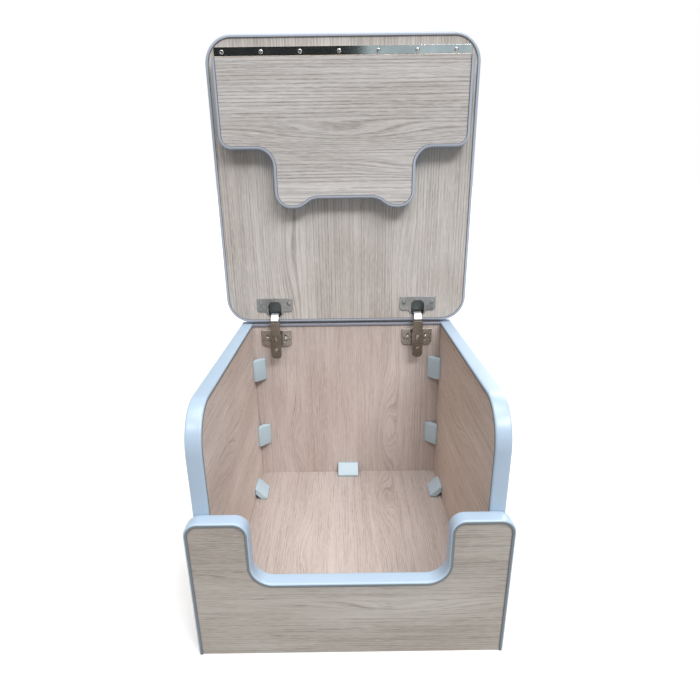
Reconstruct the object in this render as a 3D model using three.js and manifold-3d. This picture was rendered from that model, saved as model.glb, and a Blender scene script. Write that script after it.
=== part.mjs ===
// Toy box with a lift-up lid and a flap that hangs from the lid.
// Millimetres, +Z up, front of the box towards -Y. The lid is shown open, standing upright.
// The origin is on the ground, below the middle of the whole object.
import * as THREE from 'three';
import { mergeVertices } from 'three/addons/utils/BufferGeometryUtils.js';
import Module from 'manifold-3d';

const wasm = await Module();
wasm.setup();

// ---- driving dimensions ----
const BOARD = 18;             // thickness of every laminated board
const GAP = 0.25;             // working gap between pieces that touch
const CAP = 1.55;             // edge trim thickness over a board's edge
const LIP = 1.0;              // edge trim thickness over a board's face
const LIP_WIDTH = 3.5;        // how far the trim reaches over the face
const TRIM_ROUND = 2.5;       // rounding of the trim's outer edges
const EDGE_OUT = CAP + GAP;   // trim's outside, measured from the board's edge
const FACE_OUT = LIP + GAP;   // trim's outside, measured from the board's face
const RUN_ON = 40;            // how far a trim is drawn past an open end before it is cut off
const BEYOND = 500;           // past the end of any piece

const HALF_DEPTH = 215.5;     // outer faces of the front and back boards
const SIDE_OUTER = 190;       // outer face of a side board
const SIDE_INNER = SIDE_OUTER - BOARD;
const BODY_TOP = 338;         // top of the trims on the sides and back
const SIDE_CORNER_R = 57;     // rounded top front corner of a side
const FLOOR_TOP = 30;         // upper face of the raised floor board
const BACK_TRIM_LOW = 20;     // the back's trim is cut this far below its top

const FRONT_HALF = 200;       // front panel with its trim
const EAR_TOP = 204;
const EAR_R = 19;
const NOTCH_HALF = 121;
const NOTCH_BOTTOM = 114;
const NOTCH_R = 26;

const LID_HALF = 213;         // lid with its trim
const LID_LENGTH = 449.5;
const LID_R = 42;

const FLAP_HALF = 199;        // flap with its trim
const FLAP_SETBACK = 31.75;   // flap hinge's axis, back from the lid's front edge
const FLAP_SHOULDER = 128.6;
const FLAP_R = 20;
const FLAP_FILLET = 26;
const TONGUE_HALF = 114.5;
const TONGUE_LENGTH = 219;
const TONGUE_R = 26;
const ARCH_DEPTH = 15;
const ARCH_FLAT_HALF = 42;
const ARCH_FOOT_HALF = 84;

const SWEEP_CLEAR = 0.3;      // clearance under the lid's rear corner as it turns
const CUP_R = 17.5;
const CUP_DEPTH = 12;
const CUP_X = 128;            // cup hinges, left and right of the middle
const CUP_S = 26;             // cup centre, measured up the open lid from its lower edge
const CUP_WALL = 1;
const CUP_SIDES = 24;
const FLANGE_THICK = 1.2;
const FLANGE_FACE = GAP + FLANGE_THICK;
const FLANGE_HALF = 32;
const FLANGE_LOW = -6.9;      // the flange's lower edge, from the cup's centre
const CUP_SCREW_X = 25;
const CUP_SCREW_RISE = 7;
const FLANGE_LOW_R = 6;
const FLANGE_HIGH_R = 1.5;

const ARC_STEPS = 5;          // segments on each rounded corner
const ROUND_LEVELS = 2;       // steps in a rounded edge
const ROUND_STEPS = 12;       // segments round a small cylinder

// ---- places that follow from them ----
const INNER_BACK = HALF_DEPTH - BOARD;
const SIDE_FRONT = -INNER_BACK + FACE_OUT + GAP + EDGE_OUT;
const LID_FACE = INNER_BACK;  // inner face of the open lid's board
// The lid turns about one fixed axis that carries its rear edge clear over the back panel.
const HINGE_ARM = (HALF_DEPTH - (LID_FACE - FACE_OUT)) / 2;
const HINGE_SWEEP = (HINGE_ARM - TRIM_ROUND) * Math.SQRT2 + TRIM_ROUND;
const HINGE_Y = HALF_DEPTH - HINGE_ARM;
const HINGE_Z = BODY_TOP + SWEEP_CLEAR + HINGE_SWEEP;
const LID_BOTTOM = HINGE_Z - HINGE_ARM;

// Countersunk screws.
const HEAD_R = 3;
const HEAD_CROWN = 0.4;
const HEAD_FLAT_R = 2.4;
const HEAD_SINK = 0.7;
const HEAD_CLEAR = 4;         // how far a drilled hole is left open above the head
const SHANK_R = 1.5;
const SCREW_SIDES = 8;
const LEAF_SCREW = 12;
const FLAP_SCREW = 16;
const CUP_SCREW = 13;
const PLATE_SCREW = 14;
const ARM_SCREW = 8;
const LOOK_FRONT = [90, 0, 0];
const LOOK_UP = [0, 0, 0];

// Piano hinge between lid and flap.
const KNUCKLE_R = 2;
const PIN_R = 1;
const LEAF_THICK = 0.8;
const LEAF_REACH = 14.2;
const KNUCKLE_SIDES = 10;
const PIANO_LENGTH = 396;
const KNUCKLE_PITCH = 24.75;
const FLAP_HINGE_Y = LID_FACE - GAP - KNUCKLE_R;
const FLAP_HINGE_Z = LID_BOTTOM + LID_LENGTH - FLAP_SETBACK;
const FLAP_TOP = FLAP_HINGE_Z - KNUCKLE_R - GAP;
const SCREW_PITCH = 60;
const SCREW_SHIFT = -6;
const SCREWS_EACH_SIDE = 3;
const SCREW_FROM_AXIS = 7.5;

const LINK_PIVOT_Y = INNER_BACK - 14;  // outer link's pivot at the top of the arm
const LINK_PIVOT_Z = HINGE_Z - 3.4;
const LINK_ANGLE = 30.7;      // the open link's lean from horizontal, degrees
const LINK_LENGTH = 16;
const LINK_WIDTH = 13;
const LINK_THICK = 1.6;
const LINK_BOW = 4;
const LINK_EYE_R = 2.2;
const LINK_TIP_R = 1.8;
const LINK_PIN_R = 1;
const PIN_PLAY = 0.08;

const ARM_TOP_Y = INNER_BACK - 15.6;
const ARM_THICK = 1.5;
const ARM_BOTTOM_Z = 277;
const ARM_NECK_Z = 325;       // the arm narrows above this height
const ARM_PLATE_TOP_Z = 344;
const ARM_HALF = 10.5;
const ARM_LOW_R = 6;
const ARM_HIGH_R = 3;
const NECK_LAP = 20;          // how far the neck runs down into the arm
const WEB_RISE = 8;           // where the side walls begin above the arm's end
const ARM_DEEP = 7;           // the arm's side walls behind its top plate
const ARM_SCREW_ZS = [314, 293];
const FORK_HALF = 8.25;
const FORK_WALL = 1.4;
const FORK_ROUND = 3.2;
const PLATE_Z = 311;          // middle of the mounting plate
const PLATE_HALF = 27.5;
const PLATE_RISE = 15;
const PLATE_THICK = 2.2;
const PLATE_LOW_R = 8;
const PLATE_HIGH_R = 2;
const PLATE_SCREW_X = 16;
const RIB_HALF = 6.5;
const RIB_UP = 20;
const RIB_DOWN = 26;

const BRACKET_LEG = 21;
const BRACKET_LENGTH = 40;
const BRACKET_TOE = 4;
const BRACKET_ROUND = 1.5;
const BRACKET_HEEL = 10;
const UPPER_BRACKET_Z = 253;
const LOWER_BRACKET_Z = 119;
const FRONT_BRACKET_Z = 140;
const FLOOR_BRACKET_Y = 120;

// ---- materials ----
const OAK = new THREE.MeshStandardMaterial({ color: 0xc2b5a6, roughness: 0.6, metalness: 0 });
const TRIM = new THREE.MeshStandardMaterial({ color: 0xc9dbe8, roughness: 0.3, metalness: 0 });
const STEEL = new THREE.MeshStandardMaterial({ color: 0xb8b4ab, roughness: 0.25, metalness: 1 });
const BRIGHT = new THREE.MeshStandardMaterial({ color: 0xd8d8da, roughness: 0.1, metalness: 1 });
const PLASTIC = new THREE.MeshStandardMaterial({ color: 0xcfdbe2, roughness: 0.4, metalness: 0 });

// ---- solids ----
function toSolid(geometry) {
  const bare = geometry.clone();
  bare.deleteAttribute('normal');
  bare.deleteAttribute('uv');
  const merged = mergeVertices(bare, 1e-4);
  return new wasm.Manifold(new wasm.Mesh({
    numProp: 3,
    vertProperties: new Float32Array(merged.attributes.position.array),
    triVerts: new Uint32Array(merged.index.array),
  }));
}

function toGeometry(solid) {
  const mesh = solid.getMesh();
  const geometry = new THREE.BufferGeometry();
  geometry.setAttribute('position', new THREE.BufferAttribute(mesh.vertProperties, 3));
  geometry.setIndex(new THREE.BufferAttribute(mesh.triVerts, 1));
  geometry.computeVertexNormals();
  return geometry;
}

function block(low, high) {
  const size = high.map((value, i) => value - low[i]);
  const geometry = new THREE.BoxGeometry(...size);
  geometry.translate(...low.map((value, i) => value + size[i] / 2));
  return toSolid(geometry);
}

function slab(shape, depth) {
  return toSolid(new THREE.ExtrudeGeometry(shape, {
    depth,
    bevelEnabled: false,
    curveSegments: ARC_STEPS,
  }));
}

// A slab whose outer edges are rounded, between z = 0 and z = depth.
function roundedSlab(shape, depth, round) {
  const geometry = new THREE.ExtrudeGeometry(shape, {
    depth: depth - 2 * round,
    bevelThickness: round,
    bevelSize: round,
    bevelSegments: ROUND_LEVELS,
    curveSegments: ARC_STEPS,
  });
  geometry.translate(0, 0, round);
  return toSolid(geometry);
}

// A solid of revolution about Z, from a closed list of [radius, height] points.
function turned(points, segments = ROUND_STEPS) {
  return toSolid(new THREE.LatheGeometry(points.map(([r, h]) => new THREE.Vector2(r, h)), segments)
    .rotateX(Math.PI / 2));
}

function rod(radius, length, segments = ROUND_STEPS) {
  return toSolid(new THREE.CylinderGeometry(radius, radius, length, segments)).rotate([0, 0, 90]);
}

function unite(solids) {
  return solids.reduce((all, next) => all.add(next));
}

// Turns a flat outline, drawn in X and Y, upright so that its Y is +Z and its thickness runs to -Y.
function standUp(solid, y) {
  return solid.rotate([90, 0, 0]).translate([0, y, 0]);
}

// ---- outlines, each grown outwards by a given amount ----
function lidOutline(grow) {
  const x = LID_HALF - EDGE_OUT + grow;
  const low = EDGE_OUT - grow;
  const high = LID_LENGTH - EDGE_OUT + grow;
  const r = LID_R - EDGE_OUT + grow;
  const shape = new THREE.Shape();
  shape.moveTo(-x + r, low);
  shape.lineTo(x - r, low);
  shape.absarc(x - r, low + r, r, -Math.PI / 2, 0, false);
  shape.absarc(x - r, high - r, r, 0, Math.PI / 2, false);
  shape.absarc(-x + r, high - r, r, Math.PI / 2, Math.PI, false);
  shape.absarc(-x + r, low + r, r, Math.PI, 1.5 * Math.PI, false);
  return shape;
}

function frontOutline(grow, bottom = 0) {
  const x = FRONT_HALF - EDGE_OUT + grow;
  const top = EAR_TOP - EDGE_OUT + grow;
  const notch = NOTCH_HALF + EDGE_OUT - grow;
  const sill = NOTCH_BOTTOM - EDGE_OUT + grow;
  const ear = EAR_R - EDGE_OUT + grow;
  const fillet = NOTCH_R + EDGE_OUT - grow;
  const shape = new THREE.Shape();
  shape.moveTo(x, bottom);
  shape.lineTo(x, top - ear);
  shape.absarc(x - ear, top - ear, ear, 0, Math.PI / 2, false);
  shape.absarc(notch + ear, top - ear, ear, Math.PI / 2, Math.PI, false);
  shape.absarc(notch - fillet, sill + fillet, fillet, 0, -Math.PI / 2, true);
  shape.absarc(-notch + fillet, sill + fillet, fillet, -Math.PI / 2, -Math.PI, true);
  shape.absarc(-notch - ear, top - ear, ear, 0, Math.PI / 2, false);
  shape.absarc(-x + ear, top - ear, ear, Math.PI / 2, Math.PI, false);
  shape.lineTo(-x, bottom);
  return shape;
}

// The flap hangs down from y = top. Its tongue ends in two lobes with a hand hold between them.
function flapOutline(grow, top = 0) {
  const x = FLAP_HALF - EDGE_OUT + grow;
  const shoulder = -FLAP_SHOULDER + EDGE_OUT - grow;
  const corner = FLAP_R - EDGE_OUT + grow;
  const fillet = FLAP_FILLET + EDGE_OUT - grow;
  const tongue = TONGUE_HALF - EDGE_OUT + grow;
  const end = -TONGUE_LENGTH + EDGE_OUT - grow;
  const lobe = TONGUE_R - EDGE_OUT + grow;
  const arch = end + ARCH_DEPTH;
  const bend = (ARCH_FOOT_HALF + ARCH_FLAT_HALF) / 2;
  const shape = new THREE.Shape();
  shape.moveTo(x, top);
  shape.lineTo(-x, top);
  shape.absarc(-x + corner, shoulder + corner, corner, Math.PI, 1.5 * Math.PI, false);
  shape.absarc(-tongue - fillet, shoulder - fillet, fillet, Math.PI / 2, 0, true);
  shape.absarc(-tongue + lobe, end + lobe, lobe, Math.PI, 1.5 * Math.PI, false);
  shape.lineTo(-ARCH_FOOT_HALF, end);
  shape.bezierCurveTo(-bend, end, -bend, arch, -ARCH_FLAT_HALF, arch);
  shape.lineTo(ARCH_FLAT_HALF, arch);
  shape.bezierCurveTo(bend, arch, bend, end, ARCH_FOOT_HALF, end);
  shape.absarc(tongue - lobe, end + lobe, lobe, -Math.PI / 2, 0, false);
  shape.absarc(tongue + fillet, shoulder - fillet, fillet, Math.PI, Math.PI / 2, true);
  shape.absarc(x - corner, shoulder + corner, corner, -Math.PI / 2, 0, false);
  return shape;
}

// Side board seen from the left: the outline's x runs to the back, and its y is height.
function sideOutline(grow, back = HALF_DEPTH, bottom = 0) {
  const front = SIDE_FRONT - grow;
  const top = BODY_TOP - EDGE_OUT + grow;
  const r = SIDE_CORNER_R - EDGE_OUT + grow;
  const shape = new THREE.Shape();
  shape.moveTo(front, bottom);
  shape.lineTo(back, bottom);
  shape.lineTo(back, top);
  shape.absarc(front + r, top - r, r, Math.PI / 2, Math.PI, false);
  return shape;
}

// Wrap-around trim: a rounded outer slab, less the board and less the middle of both faces.
function trimOf(outline) {
  const outer = roundedSlab(outline(EDGE_OUT - TRIM_ROUND, RUN_ON), BOARD + 2 * FACE_OUT, TRIM_ROUND)
    .translate([0, 0, -FACE_OUT]);
  const inside = slab(outline(-LIP_WIDTH, 2 * RUN_ON), BOARD + 4 * FACE_OUT)
    .translate([0, 0, -2 * FACE_OUT]);
  const board = slab(outline(GAP, 2 * RUN_ON), BOARD + 2 * GAP).translate([0, 0, -GAP]);
  return outer.subtract(inside).subtract(board);
}

// ---- box ----
// Turns a side outline upright, with its thickness running from x = inner to x = inner + BOARD.
function sideUp(solid, inner) {
  return solid.rotate([90, 0, 90]).translate([inner, 0, 0]);
}

function backZone(grow) {
  return block([-SIDE_INNER + GAP - grow, INNER_BACK - grow, -RUN_ON],
    [SIDE_INNER - GAP + grow, HALF_DEPTH + RUN_ON, BODY_TOP + RUN_ON]);
}

// Space that the floor board takes between the sides, where the trim has no inner lip.
function floorZone() {
  return block([-SIDE_INNER, -INNER_BACK, -RUN_ON], [SIDE_INNER, INNER_BACK, FLOOR_TOP + GAP]);
}

function sideTrim(side) {
  const keep = block([-BEYOND, -BEYOND, 0], [BEYOND, HALF_DEPTH, BEYOND]);
  const wrap = trimOf((grow, past = 0) => sideOutline(grow, HALF_DEPTH + past, -past));
  const inner = side < 0 ? -SIDE_OUTER : SIDE_INNER;
  return sideUp(wrap, inner).intersect(keep).subtract(backZone(FACE_OUT + GAP)).subtract(floorZone());
}

function frontTrim() {
  const wrap = trimOf((grow, past = 0) => frontOutline(grow, -past));
  return standUp(wrap, -INNER_BACK).intersect(block([-BEYOND, -BEYOND, 0], [BEYOND, BEYOND, BEYOND]));
}

function backOutline(grow, past = 0) {
  const x = SIDE_INNER - GAP + past;
  const top = BODY_TOP - EDGE_OUT + grow;
  const shape = new THREE.Shape();
  shape.moveTo(-x, -past);
  shape.lineTo(x, -past);
  shape.lineTo(x, top);
  shape.lineTo(-x, top);
  return shape;
}

function backTrim() {
  const half = SIDE_INNER - GAP;
  const strip = block([-half, -BEYOND, BODY_TOP - BACK_TRIM_LOW], [half, BEYOND, BEYOND]);
  return standUp(trimOf(backOutline), HALF_DEPTH).intersect(strip);
}

function floorPanel() {
  return block([-SIDE_INNER + GAP, -INNER_BACK + GAP, FLOOR_TOP - BOARD],
    [SIDE_INNER - GAP, INNER_BACK - GAP, FLOOR_TOP]);
}

// ---- countersunk screws, made with the head looking along +Z and its rim at z = 0 ----
function screwBody(length, grow) {
  return turned([
    [0, -length - grow],
    [SHANK_R + grow, -length - grow],
    [SHANK_R + grow, -HEAD_SINK - grow],
    [HEAD_R + grow, grow / 2],
    [HEAD_FLAT_R, HEAD_CROWN + grow],
    [0, HEAD_CROWN + grow],
  ], SCREW_SIDES);
}

// The hole through a plate, which clears the head too.
function screwHole(length) {
  const mouth = turned([
    [0, 0], [HEAD_R + GAP, 0], [HEAD_R + GAP, HEAD_CLEAR], [0, HEAD_CLEAR],
  ], SCREW_SIDES)
    .translate([0, 0, GAP / 2]);
  return screwBody(length, GAP).add(mouth);
}

// Where each kind of screw sits: its head's rim, which way the head looks and its length.
function placed(solid, place) {
  return solid.rotate(place.look).translate(place.at);
}

function lidLeafScrewAt(x) {
  const at = [x, LID_FACE - GAP - LEAF_THICK, FLAP_HINGE_Z + SCREW_FROM_AXIS];
  return { at, look: LOOK_FRONT, length: LEAF_SCREW };
}

function flapLeafScrewAt(x) {
  const at = [x, FLAP_HINGE_Y - SCREW_FROM_AXIS, FLAP_TOP + GAP + LEAF_THICK];
  return { at, look: LOOK_UP, length: FLAP_SCREW };
}

function cupScrewAt(x, side) {
  const at = [x + side * CUP_SCREW_X, LID_FACE - FLANGE_FACE, LID_BOTTOM + CUP_S + CUP_SCREW_RISE];
  return { at, look: LOOK_FRONT, length: CUP_SCREW };
}

function plateScrewAt(x, side) {
  const at = [x + side * PLATE_SCREW_X, INNER_BACK - GAP - PLATE_THICK, PLATE_Z];
  return { at, look: LOOK_FRONT, length: PLATE_SCREW };
}

function armScrewAt(x, z) {
  return { at: [x, ARM_TOP_Y, z], look: LOOK_FRONT, length: ARM_SCREW };
}

function screw(place) {
  return placed(screwBody(place.length, 0), place);
}

function drilled(solid, places) {
  return places.reduce((rest, place) => rest.subtract(placed(screwHole(place.length), place)), solid);
}

// Pilot holes in a board, which lies below the screws' heads.
function piloted(solid, places) {
  const pilot = (length) => turned([
    [0, -length - GAP],
    [SHANK_R + GAP, -length - GAP],
    [SHANK_R + GAP, HEAD_CLEAR],
    [0, HEAD_CLEAR],
  ], SCREW_SIDES);
  return places.reduce((rest, place) => rest.subtract(placed(pilot(place.length), place)), solid);
}

function pianoScrewXs() {
  const count = 2 * SCREWS_EACH_SIDE + 1;
  return Array.from({ length: count }, (_, i) => SCREW_SHIFT + (i - SCREWS_EACH_SIDE) * SCREW_PITCH);
}

// ---- piano hinge between lid and flap ----
// A leaf is made with the pin along X at the origin and its plate standing up along +Z.
// The plate touches the knuckles' +Y side when side is 1 and their -Y side when side is -1.
function pianoLeaf(first, side) {
  const half = PIANO_LENGTH / 2;
  const count = Math.round(PIANO_LENGTH / KNUCKLE_PITCH);
  const near = side > 0 ? KNUCKLE_R - LEAF_THICK : -KNUCKLE_R;
  const far = near + LEAF_THICK;
  const pieces = [block([-half, near, KNUCKLE_R + 2 * GAP], [half, far, LEAF_REACH])];
  for (let i = first; i < count; i += 2) {
    const low = -half + i * KNUCKLE_PITCH + GAP / 2;
    const high = low + KNUCKLE_PITCH - GAP;
    pieces.push(block([low, near, 0], [high, far, LEAF_REACH - 1]));
    pieces.push(rod(KNUCKLE_R, high - low, KNUCKLE_SIDES).translate([(low + high) / 2, 0, 0]));
  }
  return unite(pieces).subtract(rod(PIN_R + PIN_PLAY, PIANO_LENGTH + KNUCKLE_R, KNUCKLE_SIDES));
}

function atFlapHinge(solid) {
  return solid.translate([0, FLAP_HINGE_Y, FLAP_HINGE_Z]);
}

function lidLeaf() {
  return drilled(atFlapHinge(pianoLeaf(0, 1)), pianoScrewXs().map(lidLeafScrewAt));
}

function flapLeaf() {
  return drilled(atFlapHinge(pianoLeaf(1, -1).rotate([90, 0, 0])), pianoScrewXs().map(flapLeafScrewAt));
}

function pianoPin() {
  return atFlapHinge(rod(PIN_R, PIANO_LENGTH, KNUCKLE_SIDES));
}

// ---- cup hinges between lid and back ----
function roundedPlate(halfWidth, low, high, lowRadius, highRadius) {
  const shape = new THREE.Shape();
  shape.moveTo(-halfWidth, low + lowRadius);
  shape.absarc(-halfWidth + lowRadius, low + lowRadius, lowRadius, Math.PI, 1.5 * Math.PI, false);
  shape.absarc(halfWidth - lowRadius, low + lowRadius, lowRadius, -Math.PI / 2, 0, false);
  shape.absarc(halfWidth - highRadius, high - highRadius, highRadius, 0, Math.PI / 2, false);
  shape.absarc(-halfWidth + highRadius, high - highRadius, highRadius, Math.PI / 2, Math.PI, false);
  return shape;
}

// The cup is let into the lid; its flange lies on the lid's face, wider on the far side of the cup.
function hingeCup(x) {
  const inner = CUP_R - CUP_WALL;
  const cup = turned([
    [0, -CUP_DEPTH], [CUP_R, -CUP_DEPTH], [CUP_R, FLANGE_FACE], [0, FLANGE_FACE],
  ], CUP_SIDES);
  const outline = roundedPlate(FLANGE_HALF, FLANGE_LOW, CUP_R, FLANGE_LOW_R, FLANGE_HIGH_R);
  const flange = slab(outline, FLANGE_THICK).translate([0, 0, GAP]);
  const bottom = CUP_WALL - CUP_DEPTH;
  const mouth = FLANGE_FACE + CUP_WALL;
  const hollow = turned([[0, bottom], [inner, bottom], [inner, mouth], [0, mouth]], CUP_SIDES);
  const whole = placed(cup.add(flange).subtract(hollow), cupAt(x));
  return drilled(whole, [cupScrewAt(x, -1), cupScrewAt(x, 1)]);
}

function cupAt(x) {
  return { at: [x, LID_FACE, LID_BOTTOM + CUP_S], look: LOOK_FRONT };
}

function cupPocket(x) {
  const deep = CUP_DEPTH + GAP;
  const wide = CUP_R + GAP;
  return placed(turned([[0, -deep], [wide, -deep], [wide, deep], [0, deep]], CUP_SIDES), cupAt(x));
}

function hingePlate(x) {
  const outline = roundedPlate(PLATE_HALF, -PLATE_RISE, PLATE_RISE, PLATE_LOW_R, PLATE_HIGH_R);
  const wings = standUp(slab(outline, PLATE_THICK), INNER_BACK - GAP).translate([x, 0, PLATE_Z]);
  const rib = block([x - RIB_HALF, ARM_TOP_Y + ARM_THICK + GAP, PLATE_Z - RIB_DOWN],
    [x + RIB_HALF, INNER_BACK - GAP, PLATE_Z + RIB_UP]);
  const screws = [plateScrewAt(x, -1), plateScrewAt(x, 1), ...armScrewsAt(x)];
  return drilled(wings.add(rib), screws);
}

function armScrewsAt(x) {
  return ARM_SCREW_ZS.map((z) => armScrewAt(x, z));
}

// The arm is a channel that ends in a fork. The link's pin is riveted across the fork.
function hingeArm(x) {
  const outline = roundedPlate(ARM_HALF, ARM_BOTTOM_Z, ARM_NECK_Z, ARM_LOW_R, ARM_HIGH_R);
  const lower = standUp(slab(outline, ARM_THICK), 0);
  const neck = block([-FORK_HALF, -ARM_THICK, ARM_NECK_Z - NECK_LAP], [FORK_HALF, 0, ARM_PLATE_TOP_Z]);
  const cheeks = [-1, 1].map((side) => {
    const low = side < 0 ? -FORK_HALF : FORK_HALF - FORK_WALL;
    const high = low + FORK_WALL;
    const web = block([low, -ARM_THICK, ARM_BOTTOM_Z + WEB_RISE], [high, ARM_DEEP, LINK_PIVOT_Z]);
    const ear = rod(FORK_ROUND, FORK_WALL).translate([low + FORK_WALL / 2, earY(), LINK_PIVOT_Z]);
    return web.add(ear);
  });
  const pin = rod(LINK_PIN_R, 2 * FORK_HALF - FORK_WALL).translate([0, earY(), LINK_PIVOT_Z]);
  const arm = unite([lower, neck, ...cheeks, pin]).translate([x, ARM_TOP_Y + ARM_THICK, 0]);
  return drilled(arm, armScrewsAt(x));
}

function earY() {
  return LINK_PIVOT_Y - ARM_TOP_Y - ARM_THICK;
}

// The link is an arched plate with an eye on the arm's pin. Its far end reaches into the cup.
function hingeLink(x) {
  const band = new THREE.Shape();
  band.moveTo(0, LINK_EYE_R);
  band.quadraticCurveTo(LINK_LENGTH / 2, LINK_EYE_R + LINK_BOW, LINK_LENGTH, LINK_TIP_R);
  band.lineTo(LINK_LENGTH, 0);
  band.quadraticCurveTo(LINK_LENGTH / 2, LINK_BOW, 0, LINK_EYE_R - LINK_THICK);
  const plate = slab(band, LINK_WIDTH).rotate([90, 0, 90]).translate([-LINK_WIDTH / 2, 0, 0]);
  const eye = rod(LINK_EYE_R, LINK_WIDTH);
  const tip = rod(LINK_TIP_R, LINK_WIDTH).translate([0, LINK_LENGTH, 0]);
  return unite([plate, eye, tip])
    .subtract(rod(LINK_PIN_R + PIN_PLAY, LINK_WIDTH + LINK_THICK))
    .rotate([LINK_ANGLE, 0, 0])
    .translate([x, LINK_PIVOT_Y, LINK_PIVOT_Z]);
}

// ---- corner brackets ----
// A bracket is made along Z with its legs along +X and +Y. Its heel is cut off to clear the trims.
function bracket() {
  const edge = BRACKET_ROUND;
  const far = BRACKET_LEG - edge;
  const shape = new THREE.Shape();
  shape.moveTo(BRACKET_HEEL, edge);
  shape.lineTo(far, edge);
  shape.lineTo(far, BRACKET_TOE);
  shape.lineTo(BRACKET_TOE, far);
  shape.lineTo(edge, far);
  shape.lineTo(edge, BRACKET_HEEL);
  return roundedSlab(shape, BRACKET_LENGTH, edge).translate([0, 0, -BRACKET_LENGTH / 2]);
}

function backCornerBracket(side, z) {
  const at = [side * (SIDE_INNER - GAP), INNER_BACK - GAP, z];
  return bracket().rotate([0, 0, side < 0 ? -90 : 180]).translate(at);
}

function frontCornerBracket(side, z) {
  const at = [side * (SIDE_INNER - GAP), -INNER_BACK + GAP, z];
  return bracket().rotate([0, 0, side < 0 ? 0 : 90]).translate(at);
}

function floorSideBracket(side, y) {
  const at = [side * (SIDE_INNER - GAP), y, FLOOR_TOP + GAP];
  return bracket().rotate([90, 0, 0]).rotate([0, side < 0 ? 0 : -90, 0]).translate(at);
}

function floorEndBracket(end) {
  const at = [0, end * (INNER_BACK - GAP), FLOOR_TOP + GAP];
  return bracket().rotate([90, 0, 90]).rotate([end < 0 ? 0 : 90, 0, 0]).translate(at);
}

// ---- panels ----
function lidPanel() {
  const board = standUp(slab(lidOutline(0), BOARD), 0).translate([0, LID_FACE + BOARD, LID_BOTTOM]);
  const screws = [
    ...pianoScrewXs().map(lidLeafScrewAt),
    ...[-CUP_X, CUP_X].flatMap((x) => [cupScrewAt(x, -1), cupScrewAt(x, 1)]),
  ];
  return piloted(board, screws).subtract(cupPocket(-CUP_X)).subtract(cupPocket(CUP_X));
}

function lidTrim() {
  return standUp(trimOf((grow) => lidOutline(grow)), 0).translate([0, LID_FACE + BOARD, LID_BOTTOM]);
}

function onFlap(solid) {
  return standUp(solid, FLAP_HINGE_Y).translate([0, 0, FLAP_TOP]);
}

function flapPanel() {
  return piloted(onFlap(slab(flapOutline(0), BOARD)), pianoScrewXs().map(flapLeafScrewAt));
}

function flapTrim() {
  const below = block([-BEYOND, -BEYOND, 0], [BEYOND, BEYOND, FLAP_TOP]);
  return onFlap(trimOf((grow, past = 0) => flapOutline(grow, past))).intersect(below);
}

function backPanel() {
  const board = standUp(slab(backOutline(0), BOARD), HALF_DEPTH);
  return piloted(board, [-CUP_X, CUP_X].flatMap((x) => [plateScrewAt(x, -1), plateScrewAt(x, 1)]));
}

// ---- assembly ----
const toyBox = new THREE.Group();

function put(name, solid, material) {
  const mesh = new THREE.Mesh(toGeometry(solid), material.clone());
  mesh.name = name;
  toyBox.add(mesh);
}

function putBox() {
  put('left_side_panel', sideUp(slab(sideOutline(0), BOARD), -SIDE_OUTER), OAK);
  put('right_side_panel', sideUp(slab(sideOutline(0), BOARD), SIDE_INNER), OAK);
  put('back_panel', backPanel(), OAK);
  put('front_panel', standUp(slab(frontOutline(0), BOARD), -INNER_BACK), OAK);
  put('floor_panel', floorPanel(), OAK);
  put('left_side_trim', sideTrim(-1), TRIM);
  put('right_side_trim', sideTrim(1), TRIM);
  put('back_top_trim', backTrim(), TRIM);
  put('front_panel_trim', frontTrim(), TRIM);
}

function putBrackets() {
  for (const [sideName, side] of [['left', -1], ['right', 1]]) {
    put(`back_${sideName}_upper_bracket`, backCornerBracket(side, UPPER_BRACKET_Z), PLASTIC);
    put(`back_${sideName}_lower_bracket`, backCornerBracket(side, LOWER_BRACKET_Z), PLASTIC);
    put(`front_${sideName}_bracket`, frontCornerBracket(side, FRONT_BRACKET_Z), PLASTIC);
    put(`floor_${sideName}_bracket`, floorSideBracket(side, FLOOR_BRACKET_Y), PLASTIC);
  }
  put('floor_back_bracket', floorEndBracket(1), PLASTIC);
  put('floor_front_bracket', floorEndBracket(-1), PLASTIC);
}

function putLid() {
  put('lid_panel', lidPanel(), OAK);
  put('lid_trim', lidTrim(), TRIM);
  put('flap_panel', flapPanel(), OAK);
  put('flap_trim', flapTrim(), TRIM);
  put('piano_hinge_lid_leaf', lidLeaf(), BRIGHT);
  put('piano_hinge_flap_leaf', flapLeaf(), BRIGHT);
  put('piano_hinge_pin', pianoPin(), BRIGHT);
  pianoScrewXs().forEach((x, i) => {
    put(`lid_leaf_screw_${i + 1}`, screw(lidLeafScrewAt(x)), BRIGHT);
    put(`flap_leaf_screw_${i + 1}`, screw(flapLeafScrewAt(x)), BRIGHT);
  });
}

function putCupHinge(name, x) {
  put(`${name}_hinge_cup`, hingeCup(x), STEEL);
  put(`${name}_hinge_link`, hingeLink(x), BRIGHT);
  put(`${name}_hinge_arm`, hingeArm(x), STEEL);
  put(`${name}_hinge_plate`, hingePlate(x), STEEL);
  [-1, 1].forEach((side, i) => {
    put(`${name}_cup_screw_${i + 1}`, screw(cupScrewAt(x, side)), STEEL);
    put(`${name}_plate_screw_${i + 1}`, screw(plateScrewAt(x, side)), STEEL);
    put(`${name}_arm_screw_${i + 1}`, screw(armScrewAt(x, ARM_SCREW_ZS[i])), STEEL);
  });
}

putBox();
putBrackets();
putLid();
putCupHinge('left', -CUP_X);
putCupHinge('right', CUP_X);

export default toyBox;
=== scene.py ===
"""Looks for the toy box: its trims, hinges, screws and brackets, materials, light and camera.

Lengths are in millimetres until a mesh is made, and in metres from then on.
"""

import math

import bmesh
import bpy
from mathutils import Matrix, Vector


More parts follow.
